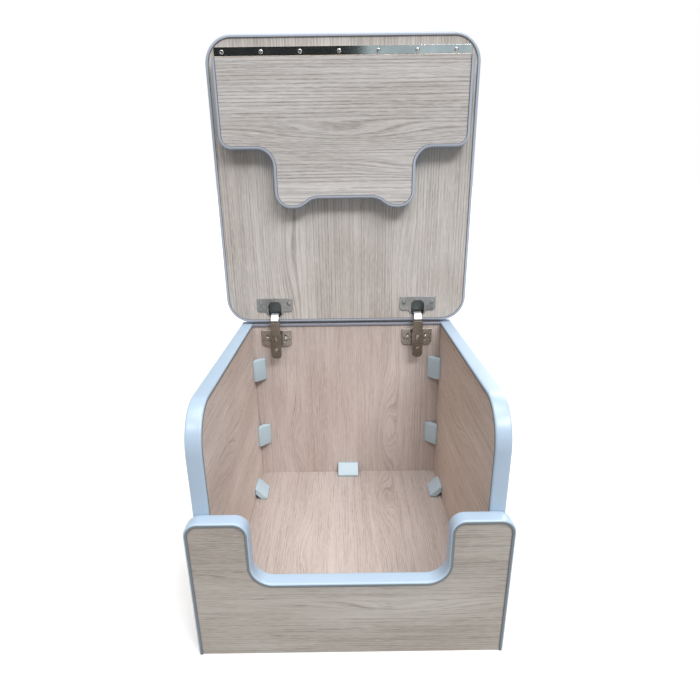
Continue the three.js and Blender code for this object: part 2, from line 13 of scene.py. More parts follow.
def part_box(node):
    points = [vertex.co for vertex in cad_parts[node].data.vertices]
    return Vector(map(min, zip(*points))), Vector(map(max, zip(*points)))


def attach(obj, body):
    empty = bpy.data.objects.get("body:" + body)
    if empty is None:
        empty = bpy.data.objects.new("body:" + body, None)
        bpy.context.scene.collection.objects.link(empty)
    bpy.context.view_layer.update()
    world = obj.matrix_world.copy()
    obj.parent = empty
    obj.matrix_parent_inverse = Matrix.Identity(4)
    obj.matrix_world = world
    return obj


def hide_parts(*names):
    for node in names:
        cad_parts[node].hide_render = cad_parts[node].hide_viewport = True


MM = 0.001

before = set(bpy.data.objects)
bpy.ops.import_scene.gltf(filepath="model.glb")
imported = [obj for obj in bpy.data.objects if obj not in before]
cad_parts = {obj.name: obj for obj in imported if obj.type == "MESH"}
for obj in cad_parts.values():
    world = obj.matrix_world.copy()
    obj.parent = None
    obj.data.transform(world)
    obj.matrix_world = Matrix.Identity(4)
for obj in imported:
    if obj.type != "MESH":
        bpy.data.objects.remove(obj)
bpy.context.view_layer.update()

# ---- meshing ----
SAME_VERTEX = 0.002
SAME_POINT = 0.01
ARC_STEP = math.radians(4)
BEND_STEP = math.radians(15)
LIP_STEP = math.radians(30)
EASE_STEPS = 2
# Edges that turn by more degrees than this are drawn sharp. A plate's first eased edge turns 15.
SHARP = 35
SHARP_PLATE = 14
SHARP_SCREW = 40
SHARP_BRACKET = 45
SHARP_TRIM = 50
# Places in a piece's list of materials. The first, 0, is its main one.
SECOND_MATERIAL = 1
THIRD_MATERIAL = 2

# ---- the trim's section, in millimetres ----
TRIM_DEPTH = 20.5
TRIM_WALL = 1.55
TRIM_REACH = 5.3
TRIM_ROUND = 2.5
TRIM_CROWN = 0.25
TRIM_CROWN_POINTS = [(0.0, 0.0), (-0.03, 3.0), (-0.12, 5.6)]
# The depth where the lip's last strip begins, drawn dark as a painted shadow line against the
# board.
TRIM_LINE = 4.4
LIP = 1.0
LIP_EASE = 0.35
LIP_FROM = TRIM_CROWN + 0.7 * TRIM_ROUND
SIDE_TRIM_LIFT = 0.3

# ---- outlines of the boards ----
LID_R = 42
SIDE_R = 57
EAR_R = 19
NOTCH_R = 26
NOTCH_HALF = 121
NOTCH_BOTTOM = 114
FLAP_R = 20
FLAP_FILLET = 26
FLAP_SHOULDER = 128.6
TONGUE_HALF = 114.5
TONGUE_R = 26
ARCH_DEPTH = 15
ARCH_FLAT_HALF = 42
ARCH_FOOT_HALF = 84

# ---- screws ----
HEAD_R = 3
HEAD_FLAT_R = 2.3
HEAD_CROWN = 0.4
HEAD_SINK = 1.2
SHANK_R = 1.5
SCREW_SIDES = 20
CROSS_REACH = 1.55
CROSS_HALF = 0.42
CROSS_TAPER = 0.72
CROSS_DEPTH = 0.9
CROSS_TURN = 0.7
HOLE_R = 3.3

# ---- piano hinge ----
GAP = 0.25
LEAF_THICK = 0.8
LEAF_REACH = 14.2
LEAF_EASE = 0.12
LEAF_SCREWS = 7
SCREW_PITCH = 60
SCREW_SHIFT = -6
SCREW_FROM_AXIS = 7.5
LID_SCREW_LENGTH = 12
FLAP_SCREW_LENGTH = 16
KNUCKLE_R = 2
KNUCKLE_BORE_R = 1.1
KNUCKLE_PITCH = 24.75
KNUCKLE_EASE = 0.15
KNUCKLE_SIDES = 32
KNUCKLES = 16
TAB_OVERLAP = 0.5
TAB_EASE = 0.1
PIN_R = 1
PIN_EASE = 0.2

# ---- cup hinges ----
HINGE_X = 128
CUP_R = 17.5
CUP_SIDES = 48
CUP_SCREW_X = 25
CUP_SCREW_RISE = 7
CUP_SCREW_LENGTH = 13
CUP_BOTTOM_THICK = 1.2
FLANGE_LOW = -6.9
FLANGE_HALF = 32
FLANGE_NECK = 12
FLANGE_THICK = 1.2
FLANGE_EASE = 0.35
MOUTH_HALF = 11.5
MOUTH_LOW = -15.3
MOUTH_HIGH = 11
MOUTH_LOW_R = 6.5
MOUTH_HIGH_R = 8
LINK_EYE = 2.2
LINK_TIP = 1.8
LINK_REACH = 16
LINK_BOW = 4
LINK_THICK = 1.6
LINK_WIDE = 13
LINK_EASE = 0.45
LINK_LEAN = math.radians(30.7)
ARM_HALF = 10.5
ARM_NECK = 8.25
ARM_THICK = 1.5
ARM_TOP = 344
ARM_WAIST = 325
ARM_SCREWS_Z = (314, 293)
ARM_SCREW_LENGTH = 8
ARM_EASE = 0.5
WEB_THICK = 1.4
WEB_DEEP = 8.5
WEB_INSET = 0.4
WEB_EASE = 0.3
WEB_BELOW_TOP = 3.2
WEB_ROUND_EYE = 3.1
PLATE_HALF = 27.5
PLATE_RISE = 15
PLATE_THICK = 2.2
PLATE_MIDDLE = 311
PLATE_SCREW_X = 16
PLATE_SCREW_LENGTH = 14
PLATE_PEG_HOLE = (22.8, -3, 1.6)
PLATE_EASE = 0.6
RIDGE_HALF = 6.5
RIDGE_LOW = -26
RIDGE_HIGH = 20
RIDGE_EASE = 0.8

# ---- corner brackets ----
BRACKET_LENGTH = 40
BRACKET_LEG = 21
BRACKET_TOE = 4
BRACKET_HEEL = 10
BRACKET_EASE = 1.3


# ---- meshes ----
def box_mm(node):
    """A CAD node's lowest and highest corner, in millimetres."""
    low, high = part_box(node)
    return low / MM, high / MM


def finished(name, mesh_data, body, material, nodes, sharp=SHARP):
    """Makes a piece of a bmesh in millimetres and hands it to the frame."""
    bmesh.ops.remove_doubles(mesh_data, verts=mesh_data.verts, dist=SAME_VERTEX)
    bmesh.ops.recalc_face_normals(mesh_data, faces=mesh_data.faces)
    for face in mesh_data.faces:
        face.smooth = True
    for edge in mesh_data.edges:
        if edge.is_manifold and edge.calc_face_angle(0) > math.radians(sharp):
            edge.smooth = False
    mesh = bpy.data.meshes.new(name)
    mesh_data.to_mesh(mesh)
    mesh_data.free()
    mesh.transform(Matrix.Scale(MM, 4))
    mesh.materials.append(material)
    piece = bpy.data.objects.new(name, mesh)
    bpy.context.scene.collection.objects.link(piece)
    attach(piece, body)
    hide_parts(*nodes)
    return piece


def arc(centre, radius, start, end, step=ARC_STEP):
    """Points on an arc in a plane, between two angles in degrees."""
    first = math.radians(start)
    turn = math.radians(end - start)
    count = max(2, round(abs(turn) / step))
    return [
        Vector(
            (
                centre[0] + radius * math.cos(first + turn * i / count),
                centre[1] + radius * math.sin(first + turn * i / count),
            )
        )
        for i in range(count + 1)
    ]


def rounded(corners, closed=True):
    """The points of an outline whose corners (x, y, radius) are rounded."""
    count = len(corners)
    points = []
    for i, (x, y, radius) in enumerate(corners):
        here = Vector((x, y))
        if radius == 0 or (not closed and i in (0, count - 1)):
            points.append(here)
            continue
        back = (Vector(corners[i - 1][:2]) - here).normalized()
        ahead = (Vector(corners[(i + 1) % count][:2]) - here).normalized()
        half = back.angle(ahead) / 2
        centre = here + (back + ahead).normalized() * radius / math.sin(half)
        start = here + back * radius / math.tan(half) - centre
        turn = math.pi - 2 * half
        if back.x * ahead.y - back.y * ahead.x > 0:
            turn = -turn
        steps = max(2, round(abs(turn) / ARC_STEP))
        for k in range(steps + 1):
            points.append(centre + Matrix.Rotation(turn * k / steps, 2) @ start)
    return points


def bezier(start, first, second, end, steps=14):
    """Points on a cubic curve in a plane, without its two ends."""
    a, b, c, d = (Vector(p) for p in (start, first, second, end))
    points = []
    for i in range(1, steps):
        t = i / steps
        u = 1 - t
        points.append(
            u**3 * a + 3 * u * u * t * b + 3 * u * t * t * c + t**3 * d
        )
    return points


def outward(path, closed):
    """The outward way at each point of an anticlockwise path, longer at corners."""
    count = len(path)
    normals = []
    for i, here in enumerate(path):
        ways = []
        if closed or i > 0:
            ways.append((here - path[i - 1]).normalized())
        if closed or i < count - 1:
            ways.append((path[(i + 1) % count] - here).normalized())
        way = sum(ways, Vector((0, 0))).normalized()
        normals.append(Vector((way.y, -way.x)) / max(0.5, way.dot(ways[0])))
    return normals


def without_repeats(points, closed):
    """A path without the points that lie on the one before."""
    kept = [points[0]]
    for point in points[1:]:
        if (point - kept[-1]).length > SAME_POINT:
            kept.append(point)
    if closed and (kept[0] - kept[-1]).length < SAME_POINT:
        kept.pop()
    return kept


def trim_section():
    """The trim's closed section, a channel with a crowned outside, as (outward, through) pairs."""
    middle = TRIM_DEPTH / 2
    bend = arc((-TRIM_CROWN - TRIM_ROUND, middle - TRIM_ROUND), TRIM_ROUND, 0, 90, BEND_STEP)
    lip = arc((-TRIM_REACH + LIP_EASE, middle - LIP_EASE), LIP_EASE, 90, 180, LIP_STEP)
    half = TRIM_CROWN_POINTS + [tuple(p) for p in bend]
    half += [(-TRIM_LINE, middle)] + [tuple(p) for p in lip]
    half += [(-TRIM_REACH, middle - LIP), (-TRIM_WALL, middle - LIP)]
    lower = [(n, -t) for n, t in reversed(half)]
    return [(n, t + middle) for n, t in half + lower[:-1]]


def swept(path, closed, place):
    """The trim's section carried along a path. place turns (u, v, through) into a 3-D point."""
    path = without_repeats(path, closed)
    normals = outward(path, closed)
    section = trim_section()
    mesh = bmesh.new()
    rings = []
    for point, normal in zip(path, normals):
        ring = []
        for reach, through in section:
            at = point + normal * reach
            ring.append(mesh.verts.new(place(at.x, at.y, through)))
        rings.append(ring)
    size = len(section)
    spans = len(rings) if closed else len(rings) - 1
    for i in range(spans):
        ring, following = rings[i], rings[(i + 1) % len(rings)]
        for k in range(size):
            n = (k + 1) % size
            face = mesh.faces.new((ring[k], ring[n], following[n], following[k]))
            # The lip's last strip takes the second material, a painted shadow line against the
            # board; the rest of the lip's face takes the third.
            deepest = max(section[k][0], section[n][0])
            if deepest <= -TRIM_LINE:
                face.material_index = SECOND_MATERIAL
            elif deepest < -LIP_FROM and section[k][0] != section[n][0]:
                face.material_index = THIRD_MATERIAL
    if not closed:
        mesh.faces.new(rings[0])
        mesh.faces.new(list(reversed(rings[-1])))
    return mesh


def plate(loops, depth, ease, matrix):
    """A plate with eased edges, from z = 0 to z = depth. The loops after the first are holes."""
    curve = bpy.data.curves.new("plate", "CURVE")
    curve.dimensions = "2D"
    curve.fill_mode = "BOTH"
    curve.extrude = depth / 2 - ease
    curve.bevel_depth = ease
    curve.bevel_resolution = EASE_STEPS
    curve.offset = -ease
    for loop in loops:
        spline = curve.splines.new("POLY")
        spline.points.add(len(loop) - 1)
        for target, point in zip(spline.points, loop):
            target.co = (point[0], point[1], 0, 1)
        spline.use_cyclic_u = True
    holder = bpy.data.objects.new("plate", curve)
    bpy.context.scene.collection.objects.link(holder)
    bpy.context.view_layer.update()
    depsgraph = bpy.context.evaluated_depsgraph_get()
    mesh = bpy.data.meshes.new_from_object(holder.evaluated_get(depsgraph))
    result = bmesh.new()
    result.from_mesh(mesh)
    bpy.data.objects.remove(holder)
    bpy.data.curves.remove(curve)
    bpy.data.meshes.remove(mesh)
    bmesh.ops.translate(result, verts=result.verts, vec=(0, 0, depth / 2))
    bmesh.ops.transform(result, matrix=matrix, verts=result.verts)
    return result


def lathe(profile, sides, matrix):
    """A profile of (radius, height) pairs turned about Z. A radius of 0 closes it in a point."""
    mesh = bmesh.new()
    rings = []
    for radius, height in profile:
        if radius == 0:
            rings.append([mesh.verts.new((0, 0, height))])
        else:
            points = circle((0, 0), radius, sides)
            rings.append([mesh.verts.new((x, y, height)) for x, y in points])
    for low, high in zip(rings, rings[1:]):
        for k in range(sides):
            n = (k + 1) % sides
            below = [low[i % len(low)] for i in (k, n)]
            above = [high[i % len(high)] for i in (n, k)]
            mesh.faces.new(list(dict.fromkeys(below + above)))
    bmesh.ops.transform(mesh, matrix=matrix, verts=mesh.verts)
    return mesh


def joined(*meshes):
    """One bmesh of several, which are freed."""
    whole = bmesh.new()
    for part in meshes:
        held = bpy.data.meshes.new("part")
        part.to_mesh(held)
        part.free()
        whole.from_mesh(held)
        bpy.data.meshes.remove(held)
    return whole


def in_second_material(mesh):
    """The same bmesh, with all its faces in its piece's second material."""
    for face in mesh.faces:
        face.material_index = SECOND_MATERIAL
    return mesh


def circle(centre, radius, sides=28):
    """Points round a circle in a plane."""
    x, y = centre
    angles = [2 * math.pi * k / sides for k in range(sides)]
    return [Vector((x + radius * math.cos(a), y + radius * math.sin(a))) for a in angles]


def slot_hole(centre, half_width, half_height):
    """An upright slot with round ends."""
    x, y = centre
    rise = half_height - half_width
    return arc((x, y + rise), half_width, 0, 180) + arc((x, y - rise), half_width, 180, 360)


def laid(x_axis, y_axis, z_axis, origin):
    """The matrix that lays a part with its own X, Y and Z along the given ways."""
    matrix = Matrix((x_axis, y_axis, z_axis)).transposed().to_4x4()
    matrix.translation = Vector(origin)
    return matrix


def facing_front(origin):
    """X stays, Y goes up and Z comes forward."""
    return laid((1, 0, 0), (0, 0, 1), (0, -1, 0), origin)


def seen_from_right(origin):
    """X goes back, Y goes up and Z goes right."""
    return laid((0, 1, 0), (0, 0, 1), (1, 0, 0), origin)


# ---- materials ----
# The places of a Mix node's factor and colour sockets, which share their names with others.
MIX_INPUTS = (0, 6, 7)
MIX_RESULT = 2


class Surface:
    """A node-based material, with short ways to add its nodes."""

    def __init__(self, name, **values):
        self.material = bpy.data.materials.new(name)
        self.material.use_nodes = True
        self.nodes = self.material.node_tree.nodes
        self.links = self.material.node_tree.links
        self.shader = self.nodes["Principled BSDF"]
        for socket, value in values.items():
            self.shader.inputs[socket.replace("_", " ")].default_value = value
        self.place = self.nodes.new("ShaderNodeTexCoord").outputs["Object"]

    def set(self, socket, value):
        """Gives a socket a value, or links it to another socket."""
        if isinstance(value, bpy.types.NodeSocket):
            self.links.new(value, socket)
        else:
            socket.default_value = value

    def mapped(self, scale, offset=(0, 0, 0), source=None):
        node = self.nodes.new("ShaderNodeMapping")
        self.set(node.inputs["Vector"], source or self.place)
        self.set(node.inputs["Scale"], scale)
        self.set(node.inputs["Location"], offset)
        return node.outputs["Vector"]

    def noise(self, vector, detail, roughness=0.5):
        """Noise whose size comes from the vector's own scale."""
        node = self.nodes.new("ShaderNodeTexNoise")
        self.set(node.inputs["Vector"], vector)
        self.set(node.inputs["Scale"], 1.0)
        self.set(node.inputs["Detail"], detail)
        self.set(node.inputs["Roughness"], roughness)
        return node.outputs["Fac"]

    def bands(self, vector, direction, scale, distortion, detail_scale):
        node = self.nodes.new("ShaderNodeTexWave")
        node.wave_type = "BANDS"
        node.bands_direction = direction
        self.set(node.inputs["Vector"], vector)
        self.set(node.inputs["Scale"], scale)
        self.set(node.inputs["Distortion"], distortion)
        self.set(node.inputs["Detail"], 3.0)
        self.set(node.inputs["Detail Scale"], detail_scale)
        self.set(node.inputs["Detail Roughness"], 0.55)
        return node.outputs["Fac"]

    def remap(self, value, low, high, to_low=0.0, to_high=1.0, smooth=False):
        node = self.nodes.new("ShaderNodeMapRange")
        if smooth:
            node.interpolation_type = "SMOOTHSTEP"
        for socket, number in zip(node.inputs, (value, low, high, to_low, to_high)):
            self.set(socket, number)
        return node.outputs["Result"]

    def vector(self, operation, first, second=None):
        node = self.nodes.new("ShaderNodeVectorMath")
        node.operation = operation
        self.set(node.inputs[0], first)
        if second is not None:
            self.set(node.inputs[1], second)
        return node.outputs["Value" if operation == "LENGTH" else "Vector"]

    def combined(self, operation, first, second):
        node = self.nodes.new("ShaderNodeMath")
        node.operation = operation
        self.set(node.inputs[0], first)
        self.set(node.inputs[1], second)
        return node.outputs["Value"]

    def times(self, first, second):
        return self.combined("MULTIPLY", first, second)

    def plus(self, first, second):
        return self.combined("ADD", first, second)

    def mix(self, share, first, second):
        node = self.nodes.new("ShaderNodeMix")
        node.data_type = "RGBA"
        for index, value in zip(MIX_INPUTS, (share, first, second)):
            self.set(node.inputs[index], value)
        return node.outputs[MIX_RESULT]

    def colour(self, value):
        self.set(self.shader.inputs["Base Color"], value)

    def roughness(self, value):
        self.set(self.shader.inputs["Roughness"], value)

    def bump(self, height, strength, distance):
        node = self.nodes.new("ShaderNodeBump")
        self.set(node.inputs["Height"], height)
        self.set(node.inputs["Strength"], strength)
        self.set(node.inputs["Distance"], distance)
        self.set(self.shader.inputs["Normal"], node.outputs["Normal"])


def rgb(red, green, blue):
    return (red, green, blue, 1.0)


def swirled(surface, grain, across, swirls):
    """The place of a point, pushed across the grain near each swirl to close the rings round it."""
    axes = "XYZ"
    place = surface.place
    for centre, half_along, half_across, push in swirls:
        scale = [0.0, 0.0, 0.0]
        scale[axes.index(grain)] = 1 / half_along
        scale[axes.index(across)] = 1 / half_across
        from_centre = surface.vector("SUBTRACT", surface.place, centre)
        reach = surface.vector("MULTIPLY", from_centre, scale)
        distance = surface.vector("LENGTH", reach)
        hump = surface.remap(distance, 0, 1, push, 0, smooth=True)
        shift = surface.nodes.new("ShaderNodeCombineXYZ")
        surface.set(shift.inputs[axes.index(across)], hump)
        place = surface.vector("ADD", place, shift.outputs["Vector"])
    return place


def oak(name, grain, across, light, dark, seed, swirls, rings_per=60, lines=0.55, mottle=0.3):
    """Printed oak on laminated board. grain and across are the axes along and across the grain."""
    surface = Surface(name, Specular_IOR_Level=0.2)
    place = swirled(surface, grain, across, swirls)
    shift = (seed * 1.37, seed * 2.11, seed * 0.73)

    def stretched(along, over, source=None):
        scale = tuple(along if axis == grain else over for axis in "XYZ")
        return surface.mapped(scale, shift, source)

    def streaks(along, over, detail, source=None):
        return surface.noise(stretched(along, over, source), detail, 0.6)

    # The fields: broad tones and patches, year rings, printed lines, pores and fibres.
    tone = streaks(1.6, 17, 3, place)
    patches = streaks(3.5, 7, 2)
    rings = surface.bands(stretched(0.1, 1, place), across, 17, 6.0, 1.6)
    fine_rings = surface.bands(stretched(0.045, 1, place), across, rings_per, 7.0, 0.5)
    ring_strength = streaks(1.2, 110, 2, place)
    pore_field = streaks(14, 900, 3, place)
    line_field = streaks(2.5, 400, 3, place)
    fibre = streaks(70, 2100, 1)

    middle = rgb(*(0.62 * a + 0.38 * b for a, b in zip(light[:3], dark[:3])))
    brown = rgb(0.80 * middle[0], 0.73 * middle[1], 0.68 * middle[2])
    deep = rgb(*(0.6 * v for v in dark[:3]))
    pale = rgb(*(min(1.0, 1.2 * v) for v in light[:3]))

    # The layers of colour, from the broadest to the finest.
    colour = surface.mix(surface.remap(tone, 0.34, 0.66), light, middle)
    colour = surface.mix(surface.remap(patches, 0.42, 0.68, 0, mottle), colour, brown)
    ring_share = surface.times(
        surface.remap(rings, 0.45, 0.98, 0, 0.25 * lines),
        surface.remap(patches, 0.3, 0.6, 0.3, 1),
    )
    colour = surface.mix(ring_share, colour, dark)
    line_share = surface.times(
        surface.remap(fine_rings, 0.5, 0.95, 0, lines),
        surface.remap(ring_strength, 0.36, 0.62, 0.05, 1),
    )
    colour = surface.mix(line_share, colour, dark)
    colour = surface.mix(surface.remap(line_field, 0.56, 0.66, 0, 0.4), colour, dark)
    pore_share = surface.remap(pore_field, 0.55, 0.66, 0, 0.5)
    colour = surface.mix(pore_share, colour, deep)
    colour = surface.mix(surface.remap(fibre, 0.45, 0.7, 0, 0.45), colour, pale)
    surface.colour(colour)
    surface.roughness(surface.remap(pore_field, 0.4, 0.7, 0.46, 0.62))
    height = surface.plus(pore_share, surface.times(fibre, 0.25))
    surface.bump(height, -0.25, 0.0004)
    return surface.material


def moulded(name, base, shade, rough):
    """Smooth moulded plastic with a faint mottle and orange peel."""
    surface = Surface(name, Coat_Weight=0.15, Coat_Roughness=0.2)
    cloud = surface.noise(surface.mapped((14, 14, 14)), 3)
    speck = surface.noise(surface.mapped((900, 900, 900)), 2)
    colour = surface.mix(surface.remap(cloud, 0.35, 0.65, 0, 0.5), base, shade)
    colour = surface.mix(surface.remap(speck, 0.6, 0.8, 0, 0.25), colour, shade)
    surface.colour(colour)
    surface.roughness(surface.remap(cloud, 0.3, 0.7, rough - 0.05, rough + 0.07))
    surface.bump(speck, 0.06, 0.0002)
    return surface.material


def metal(name, base, shade, rough, brushed):
    """Plated steel. brushed stretches its fine scratches along X."""
    surface = Surface(name, Metallic=1.0)
    scale = (60, 2200, 2200) if brushed else (700, 700, 700)
    cloud = surface.noise(surface.mapped((40, 40, 40)), 3)
    scratches = surface.noise(surface.mapped(scale), 3, 0.6)
    colour = surface.mix(surface.remap(cloud, 0.35, 0.7), base, shade)
    surface.colour(colour)
    surface.roughness(surface.remap(scratches, 0.3, 0.75, rough * 0.75, rough * 1.4))
    surface.bump(scratches, 0.05, 0.0001)
    return surface.material


# Copies of one printed oak, one for each board, each coloured to how light falls on that board.
LIGHT_OAK = rgb(0.655, 0.625, 0.595)
LIGHT_OAK_DARK = rgb(0.235, 0.20, 0.18)
FLAP_OAK = rgb(0.665, 0.65, 0.64)
# The back's copy is warmer than the lid's: painted light bounced inside the box.
BACK_OAK = rgb(0.625, 0.55, 0.52)
BACK_OAK_DARK = rgb(0.29, 0.22, 0.19)
# The left inner side's copy is lighter and warmer than the lid's: painted light bounced inside the
# box.
LEFT_OAK_PAINTED_BOUNCE = rgb(0.745, 0.655, 0.61)
LEFT_OAK_PAINTED_BOUNCE_DARK = rgb(0.34, 0.26, 0.215)
# The right inner side's copy is warm like the left but darker: painted bounce light and painted
# shade.
RIGHT_OAK = rgb(0.71, 0.605, 0.535)
RIGHT_OAK_DARK = rgb(0.32, 0.235, 0.185)
# The box floor's copy is warmer and darker than the lid's: painted bounce light and painted shade.
FLOOR_OAK = rgb(0.49, 0.435, 0.41)
FLOOR_OAK_DARK = rgb(0.27, 0.205, 0.175)
# The front's copy is darker than the lid's: painted shade.
FRONT_OAK = rgb(0.49, 0.46, 0.425)
FRONT_OAK_DARK = rgb(0.20, 0.17, 0.145)

# Swirls, in metres: centre, half length along the grain, half width across it, and greatest push.
FLAP_SWIRLS = [((0.0, 0.19, 0.648), 0.20, 0.026, 0.017), ((0.13, 0.19, 0.60), 0.15, 0.02, 0.01)]
LID_SWIRLS = [((-0.11, 0.2, 0.47), 0.22, 0.035, 0.018), ((0.1, 0.2, 0.42), 0.18, 0.03, 0.014)]
BACK_SWIRLS = [((0.07, 0.2, 0.12), 0.16, 0.034, 0.027), ((-0.105, 0.2, 0.10), 0.10, 0.022, 0.015)]
FLOOR_SWIRLS = [((0.06, 0.1, 0.03), 0.18, 0.030, 0.022), ((-0.08, -0.05, 0.03), 0.14, 0.025, 0.013)]
SIDE_SWIRLS = [((0, 0.02, 0.20), 0.20, 0.045, 0.026)]
FRONT_SWIRLS = [((0.06, -0.2, 0.07), 0.18, 0.020, 0.013), ((-0.12, -0.2, 0.12), 0.10, 0.016, 0.009)]

oak_lid = oak("oak_lid", "Z", "X", LIGHT_OAK, LIGHT_OAK_DARK, 1, LID_SWIRLS, 66, 0.55, 0.9)
oak_flap = oak("oak_flap", "X", "Z", FLAP_OAK, LIGHT_OAK_DARK, 2, FLAP_SWIRLS, lines=0.7)
oak_front = oak("oak_front", "X", "Z", FRONT_OAK, FRONT_OAK_DARK, 3, FRONT_SWIRLS, 95, 0.35, 0.6)
oak_back = oak("oak_back", "Z", "X", BACK_OAK, BACK_OAK_DARK, 4, BACK_SWIRLS, 95, 0.35, 0.5)
oak_floor = oak("oak_floor", "Y", "X", FLOOR_OAK, FLOOR_OAK_DARK, 5, FLOOR_SWIRLS, 95, 0.35)
oak_left = oak("oak_left", "Y", "Z", LEFT_OAK_PAINTED_BOUNCE, LEFT_OAK_PAINTED_BOUNCE_DARK, 6, SIDE_SWIRLS, 80, 0.35, 0.5)
oak_right = oak("oak_right", "Y", "Z", RIGHT_OAK, RIGHT_OAK_DARK, 7, SIDE_SWIRLS, 80, 0.35, 0.5)
trim_blue = moulded("trim_blue", rgb(0.37, 0.47, 0.58), rgb(0.34, 0.44, 0.555), 0.34)
shaded_trim = moulded("shaded_trim", rgb(0.20, 0.205, 0.245), rgb(0.18, 0.185, 0.22), 0.4)
# A darker copy of the lip's plastic for the box's trims: painted shade on their lips.
box_lip_painted_shade = moulded("box_lip_painted_shade", rgb(0.145, 0.17, 0.175), rgb(0.13, 0.155, 0.16), 0.36)
lid_lip = moulded("lid_lip", rgb(0.45, 0.47, 0.535), rgb(0.42, 0.44, 0.505), 0.36)
# The thin dark line along the lip's inner edge, against the board: a painted shadow.
trim_edge_painted_shadow = moulded("trim_edge_painted_shadow", rgb(0.12, 0.14, 0.17), rgb(0.10, 0.12, 0.15), 0.5)
cover_blue = moulded("cover_blue", rgb(0.44, 0.55, 0.62), rgb(0.41, 0.52, 0.59), 0.42)
bright_nickel = metal("bright_nickel", rgb(0.80, 0.81, 0.80), rgb(0.66, 0.67, 0.66), 0.09, True)
# Near-white steel, brighter than the hinge's other steel, so the links look as lit as they do:
# painted light.
link_nickel = metal("link_nickel", rgb(0.97, 0.97, 0.99), rgb(0.94, 0.94, 0.96), 0.5, True)
arm_nickel = metal("arm_nickel", rgb(0.28, 0.24, 0.20), rgb(0.21, 0.175, 0.145), 0.26, False)
pressed_nickel = metal("pressed_nickel", rgb(0.45, 0.41, 0.36), rgb(0.34, 0.30, 0.26), 0.28, False)
cup_nickel = metal("cup_nickel", rgb(0.36, 0.36, 0.355), rgb(0.28, 0.275, 0.265), 0.28, False)
# A darker copy of the cup's steel for the inside of its bowl: painted shade in the hollow.
bowl_nickel_painted_shade = metal("bowl_nickel_painted_shade", rgb(0.16, 0.18, 0.175), rgb(0.11, 0.125, 0.12), 0.4, False)
zinc = metal("zinc", rgb(0.66, 0.65, 0.63), rgb(0.54, 0.53, 0.51), 0.22, False)

BOARD_MATERIALS = {
    "lid_panel": oak_lid,
    "flap_panel": oak_flap,
    "front_panel": oak_front,
    "back_panel": oak_back,
    "floor_panel": oak_floor,
    "left_side_panel": oak_left,
    "right_side_panel": oak_right,
}
for node_name, board_material in BOARD_MATERIALS.items():
    for material_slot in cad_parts[node_name].material_slots:
        material_slot.material = board_material


# ---- trims ----
def add_trim(node, body, path, closed, place, outside=trim_blue, lip=box_lip_painted_shade):
    """A trim with its outside, its inner edge and its lip in materials of their own. The inner edge
    is drawn as a painted shadow line, and the box's lips in a darker copy, painted shade.
    """
    mesh = swept(path, closed, place)
    piece = finished(node + "_moulding", mesh, body, outside, [node], SHARP_TRIM)
    piece.data.materials.append(trim_edge_painted_shadow)
    piece.data.materials.append(lip)


def standing(front):
    """Places a path on an upright plane, with the section running back from the front."""
    return lambda u, v, through: (u, front + through, v)


def lid_trim():
    low, high = box_mm("lid_trim")
    corners = [(low.x, low.z), (high.x, low.z), (high.x, high.z), (low.x, high.z)]
    path = rounded([(x, z, LID_R) for x, z in corners])
    add_trim("lid_trim", "lid", path, True, standing(low.y), lip=lid_lip)


def flap_trim():
    low, high = box_mm("flap_trim")
    shoulder = high.z - FLAP_SHOULDER
    foot = low.z
    arch = low.z + ARCH_DEPTH
    bend = (ARCH_FOOT_HALF + ARCH_FLAT_HALF) / 2
    left = rounded(
        [
            (low.x, high.z, 0),
            (low.x, shoulder, FLAP_R),
            (-TONGUE_HALF, shoulder, FLAP_FILLET),
            (-TONGUE_HALF, foot, TONGUE_R),
            (-ARCH_FOOT_HALF, foot, 0),
        ],
        closed=False,
    )
    left += bezier((-ARCH_FOOT_HALF, foot), (-bend, foot), (-bend, arch), (-ARCH_FLAT_HALF, arch))
    left += [Vector((-ARCH_FLAT_HALF, arch))]
    path = left + [Vector((-p.x, p.y)) for p in reversed(left)]
    add_trim("flap_trim", "flap", path, False, standing(low.y), lip=lid_lip)


def front_trim():
    low, high = box_mm("front_panel_trim")
    path = rounded(
        [
            (high.x, low.z, 0),
            (high.x, high.z, EAR_R),
            (NOTCH_HALF, high.z, EAR_R),
            (NOTCH_HALF, NOTCH_BOTTOM, NOTCH_R),
            (-NOTCH_HALF, NOTCH_BOTTOM, NOTCH_R),
            (-NOTCH_HALF, high.z, EAR_R),
            (low.x, high.z, EAR_R),
            (low.x, low.z, 0),
        ],
        closed=False,
    )
    add_trim("front_panel_trim", "box", path, False, standing(low.y))


def side_trim(node):
    low, high = box_mm(node)
    foot = low.z + SIDE_TRIM_LIFT
    path = rounded([(high.y, high.z, 0), (low.y, high.z, SIDE_R), (low.y, foot, 0)], closed=False)
    add_trim(node, "box", path, False, lambda u, v, through: (low.x + through, u, v))


def back_trim():
    low, high = box_mm("back_top_trim")
    path = [Vector((high.x, high.z)), Vector((low.x, high.z))]
    add_trim("back_top_trim", "box", path, False, standing(low.y), shaded_trim, shaded_trim)


# ---- screws ----
def cross(reach, half_width):
    """The outline of a cross recess."""
    r, w = reach, half_width
    points = [(r, -w), (r, w), (w, w), (w, r), (-w, r), (-w, w), (-r, w), (-r, -w)]
    points += [(-w, -w), (-w, -r), (w, -r), (w, -w)]
    return [Vector(p) for p in points]


